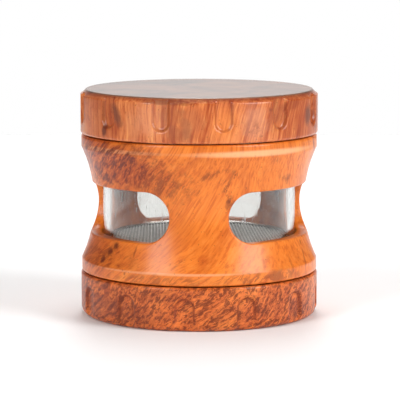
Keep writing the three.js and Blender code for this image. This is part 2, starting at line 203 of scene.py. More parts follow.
def burlPrint(name, look):
    material, tree, shader, coords = newMaterial(name, {
        "Roughness": burl["printRough"], "IOR": 1.45,
        "Specular IOR Level": 0.15,  # ink under lacquer hardly shines by itself
        "Coat Weight": look["lacquer"], "Coat Roughness": burl["lacquerRough"], "Coat IOR": 1.5})
    place = addNode(tree, "VectorMath", {0: coords, 1: (1000, 1000, 1000)}, operation="MULTIPLY")  # in mm
    offset = addNode(tree, "VectorMath", {0: place, 1: look["seed"]}, operation="ADD")
    axes = addNode(tree, "SeparateXYZ", {0: place})
    height = axes.outputs["Z"]

    # The fibres lean round the drum, more on one side than on the other, and sway a little.
    lean, spread, toward = look["lean"]
    spreadX = spread * math.sin(toward * degrees) / look["radius"]
    spreadY = -spread * math.cos(toward * degrees) / look["radius"]
    slope = addNode(tree, "Math", {0: axes.outputs["Y"], 1: spreadY, 2: lean}, operation="MULTIPLY_ADD")
    slope = addNode(tree, "Math", {0: axes.outputs["X"], 1: spreadX, 2: slope}, operation="MULTIPLY_ADD")
    rise = addNode(tree, "Math", {0: height, 1: -1 / look["radius"], 2: look["level"] / look["radius"]},
                   operation="MULTIPLY_ADD")
    slow = addNode(tree, "TexNoise", {"Vector": offset, "Scale": 0.035, "Detail": 1, "Roughness": 0.4})
    sway = addNode(tree, "Math", {0: slow, 1: look["sway"], 2: -look["sway"] / 2}, operation="MULTIPLY_ADD")
    turn = addNode(tree, "Math", {0: rise, 1: slope, 2: sway}, operation="MULTIPLY_ADD")
    twisted = addNode(tree, "VectorRotate", {"Vector": place, "Angle": turn}, rotation_type="Z_AXIS")
    drawn = addNode(tree, "Mapping", {"Vector": twisted, "Location": look["seed"],
                                      "Scale": (1, 1, 1 / burl["fibreLength"])})

    # Broad streaks and clouds set the ground colour
    streak = addNode(tree, "TexNoise", {"Vector": drawn, "Scale": 0.2, "Detail": 3, "Roughness": 0.6,
                                        "Distortion": 0.3})
    cloud = addNode(tree, "TexNoise", {"Vector": offset, "Scale": 0.07, "Detail": 3, "Roughness": 0.55,
                                       "Distortion": 0.5})
    cloud = addNode(tree, "Math", {0: cloud, 1: 0.4}, operation="MULTIPLY")
    tone = addNode(tree, "Math", {0: streak, 1: 0.6, 2: cloud}, operation="MULTIPLY_ADD")
    colour = addNode(tree, "ValToRGB", {"Fac": tone}, look["tones"]).outputs[0]

    # Fine fibres, some darker and some paler than their ground
    fibre = addNode(tree, "TexNoise", {"Vector": drawn, "Scale": 1 / burl["fibreWidth"], "Detail": 4,
                                       "Roughness": 0.65, "Distortion": 0.1})
    for edge, depth, tint, blend in ((0.36, look["darkFibre"], look["fibreColour"], "MULTIPLY"),
                                     (0.68, look["paleFibre"], look["paleColour"], "MIX")):
        share = addNode(tree, "MapRange", {"Value": fibre, "From Min": 0.52, "From Max": edge,
                                           "To Max": depth}, interpolation_type="SMOOTHSTEP")
        colour = addNode(tree, "Mix", {0: share, 6: colour, 7: hexColour(tint)}, data_type="RGBA",
                         blend_type=blend).outputs[2]

    # Patches, knots and lone streaks of the print, and marks of painted highlight, sheen and shade, each
    # with its own place, size and lean
    ragged = addNode(tree, "TexNoise", {"Vector": offset, "Scale": 0.5, "Detail": 4, "Roughness": 0.65})

    def markShare(at, size, leaning, raggedness, depth):  # how much of a mark is at each spot
        angle = at[0] * degrees
        centre = (look["radius"] * math.sin(angle), -look["radius"] * math.cos(angle), at[1])
        away = addNode(tree, "VectorMath", {0: place, 1: centre}, operation="SUBTRACT")
        facing = addNode(tree, "Mapping", {"Vector": away, "Rotation": (0, 0, angle)},
                         vector_type="TEXTURE")
        leaned = addNode(tree, "Mapping", {"Vector": facing, "Rotation": (0, leaning * degrees, 0),
                                           "Scale": (size[0], max(size[0], 4), size[1])},
                         vector_type="TEXTURE")
        far = addNode(tree, "VectorMath", {0: leaned}, operation="LENGTH").outputs["Value"]
        frayed = addNode(tree, "Math", {0: ragged, 1: raggedness, 2: -raggedness / 2},
                         operation="MULTIPLY_ADD")
        far = addNode(tree, "Math", {0: far, 1: frayed}, operation="ADD")
        return addNode(tree, "MapRange", {"Value": far, "From Min": 1.15, "From Max": 0.4,
                                          "To Max": depth}, interpolation_type="SMOOTHSTEP")

    for *mark, tint in look["marks"]:
        colour = addNode(tree, "Mix", {0: markShare(*mark), 6: colour, 7: hexColour(tint)},
                         data_type="RGBA").outputs[2]

    # Burl flecks gather in the patches and wherever their own cloud is dense
    gathering = addNode(tree, "TexNoise", {"Vector": offset, "Scale": 0.11, "Detail": 2,
                                           "Roughness": 0.5, "Distortion": 0.6})
    where = addNode(tree, "MapRange", {"Value": gathering, "From Min": look["gather"][0],
                                       "From Max": look["gather"][1]}, interpolation_type="SMOOTHSTEP")
    for patch in look["flecked"]:
        where = addNode(tree, "Math", {0: where, 1: markShare(*patch)}, operation="MAXIMUM")
    along = addNode(tree, "Mapping", {"Vector": twisted, "Scale": (1, 1, 1 / look["fleckLength"])})
    grains = addNode(tree, "TexNoise", {"Vector": along, "Scale": 0.5 / burl["fleckSize"], "Detail": 4,
                                        "Roughness": 0.75, "Distortion": 0.6})
    clumps = addNode(tree, "TexNoise", {"Vector": along, "Scale": 0.5 / burl["clumpSize"], "Detail": 3,
                                        "Roughness": 0.6, "Distortion": 0.8})
    clumps = addNode(tree, "Math", {0: clumps, 1: 1 - look["grainShare"]}, operation="MULTIPLY")
    fleck = addNode(tree, "Math", {0: grains, 1: look["grainShare"], 2: clumps}, operation="MULTIPLY_ADD")
    for start, end, depth, tint in (
            (look["fleckEdge"], look["fleckEdge"] + 0.09, look["fleckDepth"], look["fleckColour"]),
            (0.46, 0.38, look["glowDepth"], look["glowColour"])):
        share = addNode(tree, "MapRange", {"Value": fleck, "From Min": start, "From Max": end,
                                           "To Max": depth}, interpolation_type="SMOOTHSTEP")
        share = addNode(tree, "Math", {0: share, 1: where}, operation="MULTIPLY")
        colour = addNode(tree, "Mix", {0: share, 6: colour, 7: hexColour(tint)}, data_type="RGBA").outputs[2]

    # The flat top is painted a cloudy grey-brown, a painted reflection of the grey surroundings, and the
    # chamfer below it is painted darker, a painted shade band round the rim
    if "crown" in look:
        low, high, reflectionTones = look["crown"]
        paintedReflection = addNode(tree, "TexNoise", {"Vector": offset, "Scale": 0.06, "Detail": 3, "Roughness": 0.6,
                                           "Distortion": 0.8})
        paintedReflection = addNode(tree, "ValToRGB", {"Fac": paintedReflection}, reflectionTones)
        rim = addNode(tree, "MapRange", {"Value": height, "From Min": low - 0.8, "From Max": low,
                                         "To Max": look["rimShadeDepth"]}, interpolation_type="SMOOTHSTEP")
        colour = addNode(tree, "Mix", {0: rim, 6: colour, 7: hexColour(look["rimShadeColour"])},
                         data_type="RGBA").outputs[2]
        crown = addNode(tree, "MapRange", {"Value": height, "From Min": low, "From Max": high},
                        interpolation_type="SMOOTHSTEP")
        colour = addNode(tree, "Mix", {0: crown, 6: colour, 7: paintedReflection}, data_type="RGBA").outputs[2]

    # The flutes' walls are painted darker: painted shade in the flutes
    if "walls" in look:
        outside, depth, low, high, share = look["walls"]
        across = addNode(tree, "VectorMath", {0: place, 1: (1, 1, 0)}, operation="MULTIPLY")
        radius = addNode(tree, "VectorMath", {0: across}, operation="LENGTH").outputs["Value"]
        for source, start, end in ((radius, outside - 0.05, outside - 0.25),
                                   (radius, outside - depth + 0.02, outside - depth + 0.2),
                                   (height, low, low + 0.3), (height, high, high - 0.3)):
            inside = addNode(tree, "MapRange", {"Value": source, "From Min": start, "From Max": end},
                             interpolation_type="SMOOTHSTEP")
            share = addNode(tree, "Math", {0: inside, 1: share}, operation="MULTIPLY")
        colour = addNode(tree, "Mix", {0: share, 6: colour, 7: hexColour(burl["wallShadeColour"])},
                         data_type="RGBA").outputs[2]

    # Fine dark specks in the print
    dust = addNode(tree, "TexNoise", {"Vector": offset, "Scale": 1.7, "Detail": 2, "Roughness": 0.5})
    dust = addNode(tree, "MapRange", {"Value": dust, "From Min": 0.67, "From Max": 0.74, "To Max": 0.5},
                   interpolation_type="SMOOTHSTEP")
    colour = addNode(tree, "Mix", {0: dust, 6: colour, 7: hexColour(burl["dustColour"])},
                     data_type="RGBA").outputs[2]
    tree.links.new(colour, shader.inputs["Base Color"])

    # Orange peel in the lacquer, a millimetre or so across
    peel = addNode(tree, "TexNoise", {"Vector": offset, "Scale": 0.9, "Detail": 2, "Roughness": 0.5})
    peel = addNode(tree, "Bump", {"Height": peel, "Distance": 0.00001, "Strength": 0.3})
    tree.links.new(peel.outputs[0], shader.inputs["Normal"])
    return material


# A mark is its azimuth and height, its width and height in mm, its lean, how ragged it is, how deep
# its colour goes, and that colour. A flecked patch has no colour of its own.
bodyLook = {
    "lacquer": 0.6, "grainShare": 0.65,
    "seed": (11.0, 4.0, 7.0), "radius": 29.0, "level": 30.0, "lean": (0.15, 0.9, -60), "sway": 0.45,
    "tones": [(0.30, "#c65e20"), (0.42, "#da7124"), (0.52, "#e67b28"), (0.62, "#eb832e"), (0.76, "#ee9142")],
    "darkFibre": 0.42, "fibreColour": "#c47a50", "paleFibre": 0.22, "paleColour": "#f5a356",
    "gather": (0.60, 0.76), "fleckEdge": 0.46, "fleckDepth": 0.92, "fleckColour": "#651f08",
    "fleckLength": 2.6, "glowDepth": 0.4, "glowColour": "#f08a35",
    "flecked": [
        ((-52, 42.5), (19, 8.5), 0, 1.2, 1.0),
        ((-28, 40.0), (14, 6.5), 20, 1.2, 0.7),
        ((-60, 17), (15, 5), 0, 1.2, 0.6),
        ((30, 13.3), (18, 2.2), 0, 1.2, 0.6),
        ((-20, 13.0), (16, 1.8), 0, 1.2, 0.5),
        ((145, 40), (22, 9), 0, 1.2, 0.9),
        ((-140, 17), (16, 6), 0, 1.2, 0.8),
    ],
    "marks": [
        ((-54, 43), (22, 9), 10, 1.0, 0.8, "#a63e0b"),
        ((-66, 18), (15, 8), 0, 1.0, 0.6, "#b34c1a"),
        # pale lines along the creases below the top band and above the foot band: painted highlights
        ((32, 45.7), (22, 1.0), 0, 0.15, 0.62, "#fbc795"),
        ((-48, 45.7), (20, 0.7), 0, 0.2, 0.45, "#e2a071"),
        ((-12, 14.9), (26, 0.4), 0, 0.2, 0.5, "#f4b58a"),
        ((-14, 24), (5, 9), 40, 1.2, 0.35, "#b8561f"),
        ((-36, 17.5), (9, 5), 20, 1.2, 0.3, "#c25e2c"),
        ((-47.5, 20.7), (0.9, 1.3), 35, 1.0, 0.85, "#57200d"),
        ((-51, 18.9), (1.2, 1.5), 35, 1.2, 0.85, "#57200d"),
        ((-55, 16.9), (1.1, 1.3), 25, 1.2, 0.85, "#57200d"),
        ((-34, 19.8), (0.35, 1.9), 12, 0.6, 0.6, "#8a3812"),
        ((-38, 14.2), (0.5, 0.8), 10, 1.0, 0.8, "#5c230f"),
        ((-66, 14.4), (0.5, 0.6), 0, 1.0, 0.8, "#5c230f"),
        ((33, 16.4), (0.6, 3.0), 4, 0.7, 0.45, "#b04f1a"),
        ((51, 15.8), (0.7, 3.4), -6, 0.7, 0.5, "#a4461a"),
        ((64, 16.2), (0.6, 3.6), 14, 0.7, 0.55, "#8e3a16"),
        ((58, 43.5), (0.5, 1.2), 10, 1.0, 0.5, "#a4461a"),
        ((152, 17.5), (1.3, 2.2), 20, 1.0, 0.8, "#5d2212"),
        ((-128, 41), (1.4, 2.6), -15, 1.0, 0.8, "#5d2212"),
    ],
}

lidLook = {
    # the flat top is painted a grey-brown reflection, and its rim painted shade
    "crown": (59.6, 60.0, [(0.3, "#5f483d"), (0.5, "#7d5743"), (0.7, "#8f6248")]),
    "rimShadeDepth": 0.6, "rimShadeColour": "#6e2810", "lacquer": 0.75, "grainShare": 0.6,
    # the flutes' walls get painted shade
    "walls": (31.5, 0.9, 49.3, 58.5, 0.35),
    "seed": (3.0, 21.0, 2.0), "radius": 31.5, "level": 54.0, "lean": (0.12, 0.4, 60), "sway": 0.6,
    "tones": [(0.30, "#923f19"), (0.42, "#b85828"), (0.52, "#d2733d"), (0.62, "#e2874b"), (0.76, "#ee9e62")],
    "darkFibre": 0.7, "fibreColour": "#bf7650", "paleFibre": 0.5, "paleColour": "#f5a65e",
    "fleckLength": 2.0,
    "gather": (0.60, 0.74), "fleckEdge": 0.49, "fleckDepth": 0.7, "fleckColour": "#6e2a12",
    "glowDepth": 0.3, "glowColour": "#ee8c40",
    "flecked": [
        ((30, 52.0), (4.5, 3.0), 0, 1.4, 0.6),
        ((72, 53.0), (5, 5), 0, 1.2, 0.6),
        ((-62, 55.0), (8, 4), 0, 1.2, 0.5),
        ((170, 54.0), (14, 5), 0, 1.2, 0.8),
    ],
    "marks": [
        # darker sides of the lid: partly the print's own tone, partly painted shade where the light falls
        # off towards the edges
        ((-60, 54), (13, 9), 0, 0.8, 0.5, "#a54c22"),
        ((66, 54), (11, 9), 0, 0.8, 0.5, "#ad4c1c"),
        ((-43, 55.4), (2.0, 4.2), -34, 1.0, 0.75, "#6f3c29"),
        ((-3, 54.2), (3.6, 4.2), -6, 0.9, 0.35, "#a05a3a"),
        # pale pink patches either side of the middle: painted sheen
        ((27, 53.6), (4.5, 5.5), 0, 0.9, 0.4, "#d59471"),
        ((-24, 54.6), (4.5, 5.0), 0, 0.9, 0.3, "#dd9470"),
        ((12, 53.0), (4, 6), 14, 0.8, 0.45, "#ee8c42"),
        ((-66, 53.0), (4, 7), 0, 0.9, 0.4, "#dc7a42"),
        # a dark band along the front of the chamfer: painted shade
        ((-13, 59.0), (9, 0.9), 0, 1.0, 0.6, "#692912"),
        ((-32, 53.0), (3.4, 5.0), 10, 1.1, 0.4, "#e39460"),
        ((-10, 51.0), (4.5, 2.2), 12, 1.3, 0.45, "#8a4c30"),
        ((-72, 50.6), (3.5, 2.0), 0, 1.2, 0.5, "#e08a4e"),
        ((-6, 52.8), (1.6, 4.6), -14, 1.0, 0.4, "#8f5136"),
        ((-14, 56.0), (5, 3.5), 20, 1.1, 0.4, "#a35a35"),
        ((40, 55.6), (3.4, 4.5), 30, 1.1, 0.45, "#99502f"),
        ((-51, 50.8), (1.1, 1.9), 0, 0.9, 0.85, "#5a2212"),
        ((64, 54.4), (2.3, 3.2), 8, 0.7, 0.8, "#6c3422"),
        ((50, 57.6), (5.0, 1.6), -10, 1.2, 0.5, "#8c3714"),
        ((175, 53.5), (2.2, 3.4), -12, 1.0, 0.75, "#6a2a17"),
        ((-115, 55.0), (1.5, 2.6), 15, 1.0, 0.75, "#6a2a17"),
    ],
}

baseLook = {
    # the flutes' walls get painted shade
    "lacquer": 0.4, "grainShare": 0.78, "walls": (31.5, 0.8, 2.6, 10.8, 0.6),
    "seed": (17.0, 9.0, 31.0), "radius": 31.5, "level": 6.0, "lean": (0.5, 0.3, -40), "sway": 0.5,
    "tones": [(0.30, "#963f19"), (0.42, "#c05a28"), (0.52, "#da6f31"), (0.62, "#e8803a"), (0.76, "#f0934e")],
    "darkFibre": 0.15, "fibreColour": "#bf7450", "paleFibre": 0.1, "paleColour": "#f09a52",
    "gather": (0.20, 0.36), "fleckEdge": 0.47, "fleckDepth": 0.78, "fleckColour": "#5c220f",
    "fleckLength": 1.3, "glowDepth": 0.65, "glowColour": "#ea8038",
    "flecked": [],
    "marks": [
        ((-58, 6.0), (14, 6), 0, 0.8, 0.45, "#7c2f16"),
        ((-20, 9.2), (9, 2.2), 0, 1.3, 0.4, "#8a3616"),
        ((12, 4.0), (8, 4.0), -20, 1.4, 0.3, "#93401c"),
        ((36, 6.5), (5, 5.0), 15, 1.4, 0.25, "#8a3818"),
        ((-34, 3.6), (8, 3.0), 10, 1.3, 0.45, "#86381b"),
        ((60, 4.5), (10, 3), 0, 1.0, 0.35, "#8a3717"),
    ],
}

bodyPrint = burlPrint("burl print with painted highlights on the body", bodyLook)
lidPrint = burlPrint("burl print with painted shade and sheen on the lid", lidLook)
basePrint = burlPrint("burl print with painted shade on the base", baseLook)


# Satin die-cast alloy, tumbled: an even grey with a fine grain and slightly softer highlights.
def castAlloy():
    material, tree, shader, coords = newMaterial("satin die-cast alloy", {"Metallic": 1})
    grit = addNode(tree, "TexNoise", {"Vector": coords, "Scale": 2500, "Detail": 3, "Roughness": 0.6})
    stain = addNode(tree, "TexNoise", {"Vector": coords, "Scale": 120, "Detail": 3, "Roughness": 0.5})
    tint = addNode(tree, "ValToRGB", {"Fac": stain}, [(0.3, "#a9aaa9"), (0.7, "#c3c3c0")])
    satin = addNode(tree, "MapRange", {"Value": grit, "From Min": 0.3, "From Max": 0.7, "To Min": 0.26,
                                       "To Max": 0.42}, interpolation_type="SMOOTHSTEP")
    grain = addNode(tree, "Bump", {"Height": grit, "Distance": 0.00001, "Strength": 0.3})
    tree.links.new(tint.outputs[0], shader.inputs["Base Color"])
    tree.links.new(satin.outputs[0], shader.inputs["Roughness"])
    tree.links.new(grain.outputs[0], shader.inputs["Normal"])
    return material


# Stainless gauze wire, dusted with pale pollen: bright drawn steel, with painted shade where it dips under
# its neighbour. Its weave is drawn far coarser than a real pollen screen's, so that it shows.
def gauzeWire():
    material, tree, shader, coords = newMaterial("stainless gauze wire",
                                                 {"Metallic": 0.6, "Roughness": 0.35})
    drawn = addNode(tree, "TexNoise", {"Vector": coords, "Scale": 900, "Detail": 2, "Roughness": 0.5})
    bright = addNode(tree, "ValToRGB", {"Fac": drawn}, [(0.35, "#dededa"), (0.6, "#fbfbf8")])
    # painted shade: the wire is painted darker the lower it sits in the weave
    height = addNode(tree, "SeparateXYZ", {0: coords}).outputs["Z"]
    middle = (foot("screen_mesh") + top("screen_mesh")) / 2 * mm
    dipShade = addNode(tree, "MapRange", {"Value": height, "From Min": middle + 0.22 * mm,
                                        "From Max": middle}, interpolation_type="SMOOTHSTEP")
    tint = addNode(tree, "Mix", {0: dipShade, 6: bright, 7: hexColour("#b4b3af")}, data_type="RGBA").outputs[2]
    tree.links.new(tint, shader.inputs["Base Color"])
    return material


# Nickel plate, bright and slightly yellow, with faint clouding.
def nickelPlate():
    material, tree, shader, coords = newMaterial("bright nickel plate", {"Metallic": 1})
    clouding = addNode(tree, "TexNoise", {"Vector": coords, "Scale": 260, "Detail": 3, "Roughness": 0.6})
    tint = addNode(tree, "ValToRGB", {"Fac": clouding}, [(0.3, "#c4c0b5"), (0.7, "#d8d4ca")])
    haze = addNode(tree, "MapRange", {"Value": clouding, "From Min": 0.3, "From Max": 0.7, "To Min": 0.1,
                                      "To Max": 0.2}, interpolation_type="SMOOTHSTEP")
    tree.links.new(tint.outputs[0], shader.inputs["Base Color"])
    tree.links.new(haze.outputs[0], shader.inputs["Roughness"])
    return material


# Polished spring steel: turned ring with faint lines round it.
def springSteel():
    material, tree, shader, coords = newMaterial("polished spring steel", {"Metallic": 1})
    ringed = addNode(tree, "Mapping", {"Vector": coords, "Scale": (1, 1, 30)})
    lines = addNode(tree, "TexNoise", {"Vector": ringed, "Scale": 300, "Detail": 2, "Roughness": 0.5})
    tint = addNode(tree, "ValToRGB", {"Fac": lines}, [(0.3, "#bcbab4"), (0.7, "#d6d4ce")])
    polish = addNode(tree, "MapRange", {"Value": lines, "From Min": 0.3, "From Max": 0.7, "To Min": 0.16,
                                        "To Max": 0.3}, interpolation_type="SMOOTHSTEP")
    tree.links.new(tint.outputs[0], shader.inputs["Base Color"])
    tree.links.new(polish.outputs[0], shader.inputs["Roughness"])
    return material


# Natural nylon, moulded: warm white, a little waxy.
def naturalNylon():
    material, tree, shader, coords = newMaterial("natural nylon", {
        "Roughness": 0.42, "Subsurface Weight": 0.15, "Subsurface Radius": (0.001, 0.001, 0.001)})
    waxy = addNode(tree, "TexNoise", {"Vector": coords, "Scale": 200, "Detail": 3, "Roughness": 0.5})
    tint = addNode(tree, "ValToRGB", {"Fac": waxy}, [(0.3, "#ddd8ca"), (0.7, "#ece8dd")])
    pores = addNode(tree, "TexNoise", {"Vector": coords, "Scale": 1800, "Detail": 2, "Roughness": 0.5})
    pores = addNode(tree, "Bump", {"Height": pores, "Distance": 0.00001, "Strength": 0.25})
    tree.links.new(tint.outputs[0], shader.inputs["Base Color"])
    tree.links.new(pores.outputs[0], shader.inputs["Normal"])
    return material


# Black silicone, moulded: dull, with dust in its pores.
def blackSilicone():
    material, tree, shader, coords = newMaterial("black silicone", {"Roughness": 0.62})
    dust = addNode(tree, "TexNoise", {"Vector": coords, "Scale": 1500, "Detail": 3, "Roughness": 0.6})
    tint = addNode(tree, "ValToRGB", {"Fac": dust}, [(0.4, "#242322"), (0.75, "#4a4744")])
    pores = addNode(tree, "Bump", {"Height": dust, "Distance": 0.00001, "Strength": 0.4})
    tree.links.new(tint.outputs[0], shader.inputs["Base Color"])
    tree.links.new(pores.outputs[0], shader.inputs["Normal"])
    return material


# Clear drawn glass, a little grey with handling: polished, with fine upright rubs and a few specks.
def clearGlass():
    material, tree, shader, coords = newMaterial("clear drawn glass", {
        "Base Color": hexColour("#eaeae8"), "Transmission Weight": 1, "IOR": 1.49,
        "Specular IOR Level": 0.2})
    upright = addNode(tree, "Mapping", {"Vector": coords, "Scale": (1, 1, 0.12)})
    rubs = addNode(tree, "TexNoise", {"Vector": upright, "Scale": 1400, "Detail": 4, "Roughness": 0.7})
    rubs = addNode(tree, "MapRange", {"Value": rubs, "From Min": 0.55, "From Max": 0.7, "To Max": 0.3},
                   interpolation_type="SMOOTHSTEP")
    specks = addNode(tree, "TexNoise", {"Vector": coords, "Scale": 1500, "Detail": 2, "Roughness": 0.5})
    specks = addNode(tree, "MapRange", {"Value": specks, "From Min": 0.74, "From Max": 0.8, "To Max": 0.7},
                     interpolation_type="SMOOTHSTEP")
    worn = addNode(tree, "Math", {0: rubs, 1: specks}, operation="MAXIMUM")
    tree.links.new(worn.outputs[0], shader.inputs["Roughness"])
    # Light from the lamps passes straight through, so that the gauze and walls behind are lit
    through = addNode(tree, "MixShader", {0: addNode(tree, "LightPath").outputs["Is Shadow Ray"], 1: shader,
                                          2: addNode(tree, "BsdfTransparent")})
    tree.links.new(through.outputs[0], tree.nodes["Material Output"].inputs[0])
    return material


alloy = castAlloy()
wire = gauzeWire()
nickel = nickelPlate()
steel = springSteel()
nylon = naturalNylon()
silicone = blackSilicone()
glass = clearGlass()
print("materials ready")


# Base cup

cup = {  # mm and degrees, as in every piece's dictionary
    "fillet": 2.3, "rimRound": 0.6, "wallInside": 28.5, "floor": 2.2, "floorFillet": 1.5,
    "flutes": 12, "fluteAzimuth": -6.9, "fluteHalf": 3.0, "fluteSlope": 1.1, "fluteDepth": 0.8,
    "fluteMargin": 2.5, "fluteReach": 2.2, "steps": 720, "rowSpacing": 0.35,
    "threadPitch": 1.5, "threadDepth": 0.6, "threadStart": 8.3, "threadFoot": 7, "threadRow": 0.16,
    "footRing": (24.6, 25.4, 0.15),
}


def fluteDepthAt(azimuth, height, look, endHeight, up):  # how deep the flute is at a place on the side
    spacing = 2 * math.pi / look["flutes"]
    off = (azimuth - look["fluteAzimuth"] * degrees) / spacing
    across = abs(off - round(off)) * spacing * look["radius"]
    centre = endHeight + up * look["fluteHalf"]
    if up * (height - centre) < 0:
        inside = look["fluteHalf"] - math.hypot(across, height - centre)
    else:
        inside = look["fluteHalf"] - across
    return look["fluteDepth"] * smoothStep(0, look["fluteSlope"], inside)


def cutFlutes(shape, look, endHeight, up, innerLimit):
    for v in shape.verts:
        radius = math.hypot(v.co.x, v.co.y) / mm
        if radius > innerLimit:
            depth = fluteDepthAt(azimuthOf(v.co), v.co.z / mm, look, endHeight, up)
            if depth > 0 and radius > look["radius"] - depth:
                setRadius(v.co, (look["radius"] - depth) * mm)


def threadHeight(azimuth, height, start, pitch, turns):  # 0 to 1 on the ridge of a right-hand thread
    level = (height - start) / pitch - azimuth / (2 * math.pi)
    turn = round(level)
    along = turn + azimuth / (2 * math.pi)
    ends = smoothStep(0, 0.06, along) * smoothStep(turns, turns - 0.06, along)
    return smoothStep(0.27, 0.1, abs(level - turn)) * ends


cup["radius"] = reach("base_cup")
cup["rim"] = top("base_cup")
outside, rim, wall = cup["radius"], cup["rim"], cup["wallInside"]
fillet, rimRound, floorFillet = cup["fillet"], cup["rimRound"], cup["floorFillet"]
inner, outer, depth = cup["footRing"]
cupProfile = (
    [(0, 0), (inner - 0.2, 0), (inner, depth), (outer, depth), (outer + 0.2, 0)]
    + arc((outside - fillet, fillet), fillet, -90, 0, 10)
    + dense([(outside, fillet), (outside, rim - rimRound)], cup["rowSpacing"])[1:]
    + arc((outside - rimRound, rim - rimRound), rimRound, 0, 90, 5)[1:]
    + [(wall + 0.35, rim), (wall + 0.1, rim - 0.1), (wall, rim - 0.35)]
    + dense([(wall, rim - 0.35), (wall, cup["threadFoot"])], cup["threadRow"])[1:]
    + arc((wall - floorFillet, cup["floor"] + floorFillet), floorFillet, 0, -90, 6)
    + [(14, cup["floor"]), (0, cup["floor"])]
)
cupShape = tidied(spun(cupProfile, cup["steps"]))
cutFlutes(cupShape, cup, rim - cup["fluteMargin"], -1, outside - cup["fluteReach"])
for v in cupShape.verts:
    radius = math.hypot(v.co.x, v.co.y) / mm
    if abs(radius - wall) < 0.05 and v.co.z / mm > cup["threadFoot"] + 0.2:
        cut = threadHeight(azimuthOf(v.co), v.co.z / mm, cup["threadStart"], cup["threadPitch"], 2.6)
        setRadius(v.co, (radius + cup["threadDepth"] * cut) * mm)
made("baseCup", cupShape, "base", basePrint, ["base_cup"])
print("base cup done")


# Waisted body

waist = {
    "waistDepth": 3.3, "edgeRound": 0.6, "rimRound": 0.45, "innerRound": 0.3, "steps": 360,
    "windowHalfSpan": 44, "windowSill": 22.1, "windowTop": 35.3, "bandHeight": 3.27,
    "topCut": 44.0, "footCut": 16.0, "boreTopCut": 39.3, "boreFootCut": 20.8,
    "acrossSteps": 120, "upSteps": 36, "faceSteps": 16, "roundSteps": 5, "wallSteps": 3,
    "neckRadius": 28.3, "neckRound": 0.35, "neckWall": 1.4, "sealGroove": (29.1, 30.5, 1.2), "lip": 1.6,
}
waist["foot"] = top("base_cup") + 0.3
waist["top"] = top("waist_body")
waist["band"] = reach("waist_body")
waist["waist"] = waist["band"] - waist["waistDepth"]
waist["bore"] = reach("window_sleeve") + 0.3
waist["middle"] = (waist["foot"] + waist["top"]) / 2
flareHalf = (waist["top"] - waist["foot"]) / 2 - waist["bandHeight"]
flareRadius = (flareHalf ** 2 + waist["waistDepth"] ** 2) / (2 * waist["waistDepth"])


def flareAt(height):  # the waist's outside radius
    return waist["waist"] + flareRadius - math.sqrt(flareRadius ** 2 - (height - waist["middle"]) ** 2)


def evenPoints(path, count):  # count + 1 points spread evenly along a polyline
    lengths = [0]
    for a, b in zip(path, path[1:]):
        lengths.append(lengths[-1] + math.dist(a, b))
    points, k = [], 0
    for i in range(count + 1):
        want = lengths[-1] * i / count
        while k < len(path) - 2 and lengths[k + 1] < want:
            k += 1
        share = (want - lengths[k]) / max(lengths[k + 1] - lengths[k], 1e-9)
        a, b = path[k], path[k + 1]
        points.append((a[0] + (b[0] - a[0]) * share, a[1] + (b[1] - a[1]) * share))
    return points


def panelLoop(low, high):  # round a 120 degree panel, as (azimuth in radians, height)
    half = math.pi / 3
    across, up = waist["acrossSteps"], waist["upSteps"]
    corners = [(-half, high), (half, high), (half, low), (-half, low), (-half, high)]
    loop = []
    for i in range(4):
        loop += evenPoints(corners[i:i + 2], across if i % 2 == 0 else up)[:-1]
    return loop + loop[:1]


def windowLoop(grow):  # round the window, grown outwards by some mm, with as many points as panelLoop
    endRadius = (waist["windowTop"] - waist["windowSill"]) / 2
    middle = (waist["windowTop"] + waist["windowSill"]) / 2
    halfLength = waist["windowHalfSpan"] * degrees * waist["waist"] - endRadius
    size = endRadius + grow
    left, right = (-halfLength, middle), (halfLength, middle)
    runs = [
        (arc(left, size, 130, 90, 12) + arc(right, size, 90, 50, 12), waist["acrossSteps"]),
        (arc(right, size, 50, -50, 30), waist["upSteps"]),
        (arc(right, size, -50, -90, 12) + arc(left, size, -90, -130, 12), waist["acrossSteps"]),
        (arc(left, size, -130, -230, 30), waist["upSteps"]),
    ]
    loop = []
    for path, count in runs:
        loop += evenPoints(path, count)[:-1]
    loop += loop[:1]
    return [(along / waist["waist"], height) for along, height in loop]


def windowStations():  # loops from the outer face, through the window's wall, to the bore
    rim, inside, stations = waist["rimRound"], waist["innerRound"], []
    outerPanel, outerRim = panelLoop(waist["footCut"], waist["topCut"]), windowLoop(rim)
    for i in range(waist["faceSteps"] + 1):
        share = 1 - (1 - i / waist["faceSteps"]) ** 1.3
        stations.append([(a[0] + (b[0] - a[0]) * share, a[1] + (b[1] - a[1]) * share,
                          flareAt(a[1] + (b[1] - a[1]) * share)) for a, b in zip(outerPanel, outerRim)])
    for i in range(1, waist["roundSteps"] + 1):
        turn = i / waist["roundSteps"] * math.pi / 2
        loop = windowLoop(rim * (1 - math.sin(turn)))
        stations.append([(a, z, flareAt(z) - rim * (1 - math.cos(turn))) for a, z in loop])
    loop = windowLoop(0)
    for i in range(1, waist["wallSteps"] + 1):
        share = i / waist["wallSteps"]
        stations.append([(a, z, (flareAt(z) - rim) * (1 - share) + (waist["bore"] + inside) * share)
                         for a, z in loop])
    for i in range(1, waist["roundSteps"] + 1):
        turn = i / waist["roundSteps"] * math.pi / 2
        loop = windowLoop(inside * (1 - math.cos(turn)))
        stations.append([(a, z, waist["bore"] + inside * (1 - math.sin(turn))) for a, z in loop])
    innerPanel, innerRim = panelLoop(waist["boreFootCut"], waist["boreTopCut"]), windowLoop(inside)
    for i in range(1, 9):
        share = i / 8
        stations.append([(a[0] + (b[0] - a[0]) * share, a[1] + (b[1] - a[1]) * share, waist["bore"])
                         for a, b in zip(innerRim, innerPanel)])
    return stations


